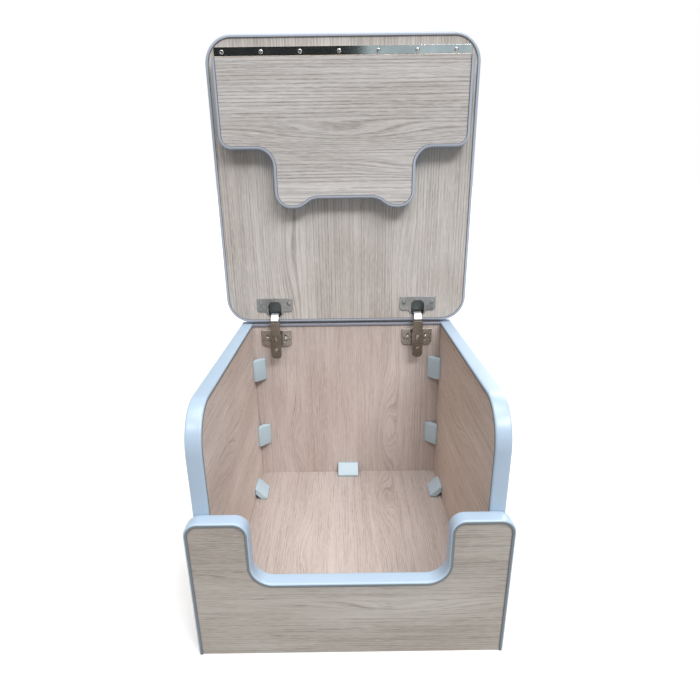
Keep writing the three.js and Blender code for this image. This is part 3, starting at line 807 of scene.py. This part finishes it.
def screw_mesh(matrix, length, turn):
    """A countersunk screw with a cross recess. Its head looks along Z and its rim is at z = 0."""
    mesh = bmesh.new()
    spin = Matrix.Rotation(turn, 2)
    rim_points = circle((0, 0), HEAD_FLAT_R, SCREW_SIDES)
    mouth_points = [spin @ p for p in cross(CROSS_REACH, CROSS_HALF)]
    base_points = [(p.x * CROSS_TAPER, p.y * CROSS_TAPER) for p in mouth_points]
    rim = [mesh.verts.new((x, y, HEAD_CROWN)) for x, y in rim_points]
    mouth = [mesh.verts.new((x, y, HEAD_CROWN)) for x, y in mouth_points]
    base = [mesh.verts.new((x, y, HEAD_CROWN - CROSS_DEPTH)) for x, y in base_points]
    edges = []
    for loop in (rim, mouth):
        edges += [mesh.edges.new((loop[i - 1], loop[i])) for i in range(len(loop))]
    bmesh.ops.triangle_fill(mesh, edges=edges, use_beauty=True)
    for i in range(len(mouth)):
        mesh.faces.new((mouth[i - 1], mouth[i], base[i], base[i - 1]))
    mesh.faces.new(base)
    bmesh.ops.transform(mesh, matrix=matrix, verts=mesh.verts)
    profile = [
        (0, -length),
        (SHANK_R * 0.5, -length),
        (SHANK_R, -length + 2),
        (SHANK_R, -HEAD_SINK),
        (HEAD_R - 0.25, -0.15),
        (HEAD_R, 0),
        (HEAD_R - 0.2, 0.18),
        (HEAD_FLAT_R, HEAD_CROWN),
    ]
    return joined(mesh, lathe(profile, SCREW_SIDES, matrix))


def add_screw(node, body, place, length, material=zinc):
    """A screw whose cross is turned by an amount of its own, which comes from its name."""
    mesh = screw_mesh(place, length, CROSS_TURN * (sum(node.encode()) % 9))
    finished(node + "_cross_head", mesh, body, material, [node], SHARP_SCREW)


# ---- piano hinge ----
def hinge_axis():
    """The middle of the piano hinge's pin, and its length."""
    low, high = box_mm("piano_hinge_pin")
    return (low + high) / 2, high.x - low.x


def leaf_screw_xs():
    """Where a leaf's screws stand along the hinge."""
    return [SCREW_SHIFT + (i - LEAF_SCREWS // 2) * SCREW_PITCH for i in range(LEAF_SCREWS)]


def piano_leaf(node, body, first, place, material):
    """A leaf with every second knuckle, from the first. Its plate's Y runs away from the axis."""
    axis, length = hinge_axis()
    start, stop = KNUCKLE_R + 2 * GAP, LEAF_REACH
    outline = rounded(
        [
            (-length / 2, start, 0),
            (length / 2, start, 0),
            (length / 2, stop, 1),
            (-length / 2, stop, 1),
        ]
    )
    holes = [circle((x, SCREW_FROM_AXIS), HOLE_R) for x in leaf_screw_xs()]
    parts = [plate([outline] + holes, LEAF_THICK, LEAF_EASE, place)]
    wide = KNUCKLE_PITCH - GAP
    tab_end = start + TAB_OVERLAP
    profile = [
        (KNUCKLE_BORE_R, 0),
        (KNUCKLE_R - KNUCKLE_EASE, 0),
        (KNUCKLE_R, KNUCKLE_EASE),
        (KNUCKLE_R, wide - KNUCKLE_EASE),
        (KNUCKLE_R - KNUCKLE_EASE, wide),
        (KNUCKLE_BORE_R, wide),
        (KNUCKLE_BORE_R, 0),
    ]
    for i in range(first, KNUCKLES, 2):
        low = -length / 2 + i * KNUCKLE_PITCH + GAP / 2
        tab = [(low, 0), (low + wide, 0), (low + wide, tab_end), (low, tab_end)]
        parts.append(plate([tab], LEAF_THICK, TAB_EASE, place))
        knuckle = lathe(profile, KNUCKLE_SIDES, seen_from_right((low, axis.y, axis.z)))
        parts.append(in_second_material(knuckle))
    mesh = joined(*parts)
    leaf = finished(node + "_pressed", mesh, body, material, [node], SHARP_PLATE)
    # The knuckles take the darker arm steel: painted shade that dims the bright line the light
    # leaves along them.
    leaf.data.materials.append(arm_nickel)


def piano_hinge():
    axis, length = hinge_axis()
    face = axis.y + KNUCKLE_R
    flap_face = axis.z - KNUCKLE_R + LEAF_THICK

    on_lid = facing_front((0, face, axis.z))
    on_flap = laid((1, 0, 0), (0, -1, 0), (0, 0, -1), (0, axis.y, flap_face))
    piano_leaf("piano_hinge_lid_leaf", "lid", 0, on_lid, bright_nickel)
    piano_leaf("piano_hinge_flap_leaf", "flap", 1, on_flap, arm_nickel)
    profile = [
        (0, 0),
        (PIN_R - PIN_EASE, 0),
        (PIN_R, PIN_EASE),
        (PIN_R, length - PIN_EASE),
        (PIN_R - PIN_EASE, length),
        (0, length),
    ]
    pin = lathe(profile, SCREW_SIDES, seen_from_right((-length / 2, axis.y, axis.z)))
    node = "piano_hinge_pin"
    finished(node + "_round", pin, "lid", bright_nickel, [node])
    for i, x in enumerate(leaf_screw_xs()):
        at = facing_front((x, face - LEAF_THICK, axis.z + SCREW_FROM_AXIS))
        add_screw(f"lid_leaf_screw_{i + 1}", "lid", at, LID_SCREW_LENGTH)
        up = Matrix.Translation((x, axis.y - SCREW_FROM_AXIS, flap_face))
        add_screw(f"flap_leaf_screw_{i + 1}", "flap", up, FLAP_SCREW_LENGTH)


# ---- cup hinges ----
def cup_hinge(side, x):
    """The flange, and behind its mouth a bowl made of a wall and a bottom, in a darker copy of the
    steel: painted shade in the hollow.
    """
    node = f"{side}_hinge_cup"
    low, high = box_mm(node)
    centre_z = low.z + CUP_R
    edge = math.degrees(math.asin(FLANGE_LOW / CUP_R))
    outline = arc((0, 0), CUP_R, 180 - edge, 360 + edge)
    outline += rounded(
        [
            (FLANGE_HALF - FLANGE_NECK, FLANGE_LOW, 0),
            (FLANGE_HALF, FLANGE_LOW, 6),
            (FLANGE_HALF, CUP_R, 1.5),
            (-FLANGE_HALF, CUP_R, 1.5),
            (-FLANGE_HALF, FLANGE_LOW, 6),
            (-FLANGE_HALF + FLANGE_NECK, FLANGE_LOW, 0),
        ],
        closed=False,
    )
    mouth = rounded(
        [
            (-MOUTH_HALF, MOUTH_LOW, MOUTH_LOW_R),
            (MOUTH_HALF, MOUTH_LOW, MOUTH_LOW_R),
            (MOUTH_HALF, MOUTH_HIGH, MOUTH_HIGH_R),
            (-MOUTH_HALF, MOUTH_HIGH, MOUTH_HIGH_R),
        ]
    )
    holes = [circle((s * CUP_SCREW_X, CUP_SCREW_RISE), HOLE_R) for s in (-1, 1)]
    at_front = facing_front((x, low.y + FLANGE_THICK, centre_z))
    flange = plate([outline, mouth] + holes, FLANGE_THICK, FLANGE_EASE, at_front)
    at_back = facing_front((x, high.y, centre_z))
    bowl_depth = high.y - low.y - FLANGE_THICK
    wall = plate([circle((0, 0), CUP_R - 0.1, CUP_SIDES), mouth], bowl_depth, 0.15, at_back)
    bottom = plate([circle((0, 0), CUP_R - 0.8, CUP_SIDES)], CUP_BOTTOM_THICK, 0.1, at_back)
    mesh = joined(flange, in_second_material(wall), in_second_material(bottom))
    cup = finished(node + "_pressed", mesh, "lid", cup_nickel, [node], SHARP_PLATE)
    cup.data.materials.append(bowl_nickel_painted_shade)
    for i, s in enumerate((-1, 1)):
        at = facing_front((x + s * CUP_SCREW_X, low.y, centre_z + CUP_SCREW_RISE))
        add_screw(f"{side}_cup_screw_{i + 1}", "lid", at, CUP_SCREW_LENGTH, cup_nickel)


def hinge_link(side, x):
    """The arched link, built in the plane of its own swing and then leaned to its open angle."""
    node = f"{side}_hinge_link"
    low, _ = box_mm(node)
    third, two_thirds = LINK_REACH / 3, 2 * LINK_REACH / 3
    rise = LINK_BOW * 0.9
    upper = bezier(
        (0, LINK_EYE),
        (third, LINK_EYE + rise),
        (two_thirds, LINK_TIP + rise),
        (LINK_REACH, LINK_TIP),
    )
    lower = bezier(
        (LINK_REACH, -LINK_TIP),
        (two_thirds, rise - LINK_TIP),
        (third, LINK_BOW * 0.7 - LINK_TIP),
        (0.6, LINK_EYE - LINK_THICK - 1.2),
    )
    band = [Vector((0, LINK_EYE))] + upper + arc((LINK_REACH, 0), LINK_TIP, 90, -90, BEND_STEP)
    band += lower + arc((0, 0), LINK_EYE, 270, 100, BEND_STEP)
    start = Vector((x - LINK_WIDE / 2, low.y + LINK_EYE, low.z + LINK_EYE))
    along = (0, math.cos(LINK_LEAN), math.sin(LINK_LEAN))
    over = (0, -math.sin(LINK_LEAN), math.cos(LINK_LEAN))
    link = plate([band], LINK_WIDE, LINK_EASE, laid(along, over, (1, 0, 0), start))
    finished(node + "_pressed", link, f"{side}_link", link_nickel, [node])


def hinge_arm(side, x):
    """A channel of a face and two webs, with the link's pin across its upper end."""
    node = f"{side}_hinge_arm"
    low, high = box_mm(node)
    face = low.y
    top = ARM_TOP - low.z
    waist = ARM_WAIST - low.z
    outline = rounded(
        [
            (-ARM_HALF + 1.5, 0, 7),
            (ARM_HALF - 1.5, 0, 7),
            (ARM_HALF, waist - 4, 3),
            (ARM_NECK, waist + 4, 3),
            (ARM_NECK, top, 1.5),
            (-ARM_NECK, top, 1.5),
            (-ARM_NECK, waist + 4, 3),
            (-ARM_HALF, waist - 4, 3),
        ]
    )
    slot_z, hole_z = (z - low.z for z in ARM_SCREWS_Z)
    holes = [slot_hole((0, slot_z), 3.4, 6.2), circle((0, hole_z), HOLE_R)]
    at_front = facing_front((x, face + ARM_THICK, low.z))
    parts = [plate([outline] + holes, ARM_THICK, ARM_EASE, at_front)]
    axis_y = box_mm(f"{side}_hinge_link")[0].y + LINK_EYE
    axis_z = high.z - WEB_BELOW_TOP
    web = rounded(
        [
            (face + WEB_INSET, low.z + 8, 0.5),
            (face + WEB_DEEP, low.z + 8, 2.5),
            (face + WEB_DEEP, ARM_WAIST, 3),
            (axis_y + WEB_ROUND_EYE, axis_z - 6, 2),
            (axis_y + WEB_ROUND_EYE, axis_z + WEB_ROUND_EYE, 2.6),
            (face + WEB_INSET, axis_z + WEB_ROUND_EYE, 2.6),
        ]
    )
    for web_x in (x - ARM_NECK, x + ARM_NECK - WEB_THICK):
        parts.append(plate([web], WEB_THICK, WEB_EASE, seen_from_right((web_x, 0, 0))))
    pin = [(0, 0), (PIN_R, 0), (PIN_R, 2 * ARM_NECK), (0, 2 * ARM_NECK)]
    parts.append(lathe(pin, 16, seen_from_right((x - ARM_NECK, axis_y, axis_z))))
    mesh = joined(*parts)
    finished(node + "_pressed", mesh, "box", arm_nickel, [node], SHARP_PLATE)
    for i, z in enumerate(ARM_SCREWS_Z):
        at = facing_front((x, face, z))
        add_screw(f"{side}_arm_screw_{i + 1}", "box", at, ARM_SCREW_LENGTH, pressed_nickel)


def hinge_plate(side, x):
    """The mounting plate's two wings, and the ridge that the arm sits on."""
    node = f"{side}_hinge_plate"
    low, high = box_mm(node)
    face = high.y - PLATE_THICK
    wings = rounded(
        [
            (-PLATE_HALF, -PLATE_RISE, 8),
            (PLATE_HALF, -PLATE_RISE, 8),
            (PLATE_HALF, PLATE_RISE, 2),
            (-PLATE_HALF, PLATE_RISE, 2),
        ]
    )
    peg_x, peg_z, peg_r = PLATE_PEG_HOLE
    holes = [slot_hole((s * PLATE_SCREW_X, 0), 2.5, 6.5) for s in (-1, 1)]
    holes += [circle((s * peg_x, peg_z), peg_r, 20) for s in (-1, 1)]
    rib = rounded(
        [
            (-RIDGE_HALF, RIDGE_LOW, 2),
            (RIDGE_HALF, RIDGE_LOW, 2),
            (RIDGE_HALF, RIDGE_HIGH, 2),
            (-RIDGE_HALF, RIDGE_HIGH, 2),
        ]
    )
    at_back = facing_front((x, high.y, PLATE_MIDDLE))
    at_face = facing_front((x, face, PLATE_MIDDLE))
    wing = plate([wings] + holes, PLATE_THICK, PLATE_EASE, at_back)
    ridge = plate([rib], face - low.y, RIDGE_EASE, at_face)
    mesh = joined(wing, ridge)
    finished(node + "_pressed", mesh, "box", pressed_nickel, [node], SHARP_PLATE)
    for i, s in enumerate((-1, 1)):
        at = facing_front((x + s * PLATE_SCREW_X, face, PLATE_MIDDLE))
        add_screw(f"{side}_plate_screw_{i + 1}", "box", at, PLATE_SCREW_LENGTH)


# ---- corner brackets ----
def bracket(node, corner, first, second, along):
    """A wedge cover in a corner. Its legs run the first and second ways, and its length along."""
    outline = rounded(
        [
            (BRACKET_HEEL, 0, 0.8),
            (BRACKET_LEG, 0, 0.8),
            (BRACKET_LEG, BRACKET_TOE, 1.6),
            (BRACKET_TOE, BRACKET_LEG, 1.6),
            (0, BRACKET_LEG, 0.8),
            (0, BRACKET_HEEL, 0.8),
        ]
    )
    start = Vector(corner) - along * BRACKET_LENGTH / 2
    wedge = plate([outline], BRACKET_LENGTH, BRACKET_EASE, laid(first, second, along, start))
    finished(node + "_cover", wedge, "box", cover_blue, [node], SHARP_BRACKET)


def corner_bracket(node, first, second):
    """A bracket in the corner that its legs run from, halfway along its own length."""
    low, high = box_mm(node)
    corner = (low + high) / 2
    for way in (first, second):
        for axis in range(3):
            if way[axis]:
                corner[axis] = low[axis] if way[axis] > 0 else high[axis]
    bracket(node, corner, first, second, first.cross(second))


def brackets():
    left, right, up = Vector((-1, 0, 0)), Vector((1, 0, 0)), Vector((0, 0, 1))
    fore, aft = Vector((0, -1, 0)), Vector((0, 1, 0))
    for side, way in (("left", right), ("right", left)):
        corner_bracket(f"back_{side}_upper_bracket", way, fore)
        corner_bracket(f"back_{side}_lower_bracket", way, fore)
        corner_bracket(f"front_{side}_bracket", way, aft)
        corner_bracket(f"floor_{side}_bracket", way, up)
    corner_bracket("floor_back_bracket", fore, up)
    corner_bracket("floor_front_bracket", aft, up)


lid_trim()
flap_trim()
front_trim()
side_trim("left_side_trim")
side_trim("right_side_trim")
back_trim()
piano_hinge()
for hinge_side, hinge_x in (("left", -HINGE_X), ("right", HINGE_X)):
    cup_hinge(hinge_side, hinge_x)
    hinge_link(hinge_side, hinge_x)
    hinge_arm(hinge_side, hinge_x)
    hinge_plate(hinge_side, hinge_x)
brackets()


# ---- floor, light and camera, in metres ----
FLOOR_REACH = 30
CARD_Y = -2.2
CARD_LOW = 0.1
CARD_HIGH = 2.3
CARD_SIDE = 1.6
CARD_SPLIT = 0.12
WHITE = rgb(1.0, 1.0, 1.0)
WORLD_STRENGTH = 0.33
BACKDROP_STRENGTH = 1.0
SUN_ELEVATION = 47
SUN_SOFTNESS = 14
KEY_AZIMUTHS = (16, 34, 52)
KEY_STRENGTH = 0.82
CAMERA_PLACE = (-0.0017, -0.7478, 0.5851)


def flat_sheet(name, corners, material):
    """A sheet of four corners, which throws no light on the object."""
    mesh = bpy.data.meshes.new(name)
    mesh.from_pydata(corners, [], [(0, 1, 2, 3)])
    mesh.materials.append(material)
    sheet = bpy.data.objects.new(name, mesh)
    bpy.context.scene.collection.objects.link(sheet)
    sheet.visible_diffuse = False
    return sheet


def studio_floor():
    """A wide pale floor."""
    surface = Surface("studio_floor", Roughness=0.7)
    cloud = surface.remap(surface.noise(surface.mapped((2, 2, 2)), 2), 0.3, 0.7)
    surface.colour(surface.mix(cloud, rgb(0.80, 0.80, 0.80), rgb(0.78, 0.78, 0.78)))
    r = FLOOR_REACH
    corners = [(-r, -r, 0), (r, -r, 0), (r, r, 0), (-r, r, 0)]
    floor = flat_sheet("studio_floor", corners, surface.material)


def card(name, left, right, tint, glow):
    """A card behind the camera, which only reflections see."""
    surface = Surface(name, Roughness=0.9, Emission_Strength=glow, Emission_Color=tint)
    cloud = surface.remap(surface.noise(surface.mapped((2.5, 1, 0.6)), 2), 0.4, 0.6)
    surface.colour(surface.mix(cloud, tint, rgb(*(0.6 * v for v in tint[:3]))))
    corners = [
        (left, CARD_Y, CARD_LOW),
        (right, CARD_Y, CARD_LOW),
        (right, CARD_Y, CARD_HIGH),
        (left, CARD_Y, CARD_HIGH),
    ]
    sheet = flat_sheet(name, corners, surface.material)
    sheet.visible_camera = False
    sheet.visible_shadow = False


def sun(name, azimuth, elevation, softness, strength):
    """A wide, far light. Azimuth 0 shines from the front, and 90 from the right."""
    data = bpy.data.lights.new(name, "SUN")
    data.angle = math.radians(softness)
    data.energy = strength
    lamp = bpy.data.objects.new(name, data)
    turn, rise = math.radians(azimuth), math.radians(elevation)
    flat = math.cos(rise)
    source = Vector((math.sin(turn) * flat, -math.cos(turn) * flat, math.sin(rise)))
    lamp.rotation_euler = source.to_track_quat("Z", "Y").to_euler()
    bpy.context.scene.collection.objects.link(lamp)


def world_light():
    """A soft white light from all round, and a full white behind the object."""
    world = bpy.data.worlds.new("studio")
    world.use_nodes = True
    nodes, links = world.node_tree.nodes, world.node_tree.links
    background = nodes["Background"]
    background.inputs["Color"].default_value = WHITE
    background.inputs["Strength"].default_value = WORLD_STRENGTH
    backdrop = nodes.new("ShaderNodeBackground")
    backdrop.inputs["Color"].default_value = WHITE
    backdrop.inputs["Strength"].default_value = BACKDROP_STRENGTH
    ray = nodes.new("ShaderNodeLightPath")
    choice = nodes.new("ShaderNodeMixShader")
    links.new(ray.outputs["Is Camera Ray"], choice.inputs[0])
    links.new(background.outputs[0], choice.inputs[1])
    links.new(backdrop.outputs[0], choice.inputs[2])
    links.new(choice.outputs[0], nodes["World Output"].inputs["Surface"])
    bpy.context.scene.world = world


def camera():
    """The photo's camera. Its focal length and centre are for a picture 700 wide and high."""
    focal, centre_x, centre_y, width = 534.7, 346.9, 380.3, 700
    pitch, yaw, roll = (math.radians(a) for a in (-20.775, 0.074, -0.736))
    flat = math.cos(pitch)
    look = Vector((math.sin(yaw) * flat, math.cos(yaw) * flat, math.sin(pitch)))
    right = Vector((math.cos(yaw), -math.sin(yaw), 0))
    up = right.cross(look)
    rolled_right = math.cos(roll) * right + math.sin(roll) * up
    rolled_up = -math.sin(roll) * right + math.cos(roll) * up
    data = bpy.data.cameras.new("camera")
    data.sensor_width = 36
    data.lens = focal * data.sensor_width / width
    data.shift_x = (width / 2 - centre_x) / width
    data.shift_y = (centre_y - width / 2) / width
    data.clip_start = 0.01
    eye = bpy.data.objects.new("camera", data)
    eye.matrix_world = laid(rolled_right, rolled_up, -look, CAMERA_PLACE)
    bpy.context.scene.collection.objects.link(eye)
    bpy.context.scene.camera = eye


studio_floor()
card("dark_card", -CARD_SIDE, CARD_SPLIT, rgb(0.03, 0.033, 0.035), 0)
card("pale_card", CARD_SPLIT, CARD_SIDE, rgb(0.70, 0.84, 0.90), 0.28)
world_light()
for number, turned in enumerate(KEY_AZIMUTHS):
    sun(f"key_{number + 1}", turned, SUN_ELEVATION, SUN_SOFTNESS, KEY_STRENGTH)
sun("fill", -30, SUN_ELEVATION, SUN_SOFTNESS, 0.6)
sun("top", 0, 84, 40, 2.05)
sun("back", 150, 35, 30, 1.0)
camera()
bpy.context.scene.view_settings.view_transform = "Standard"
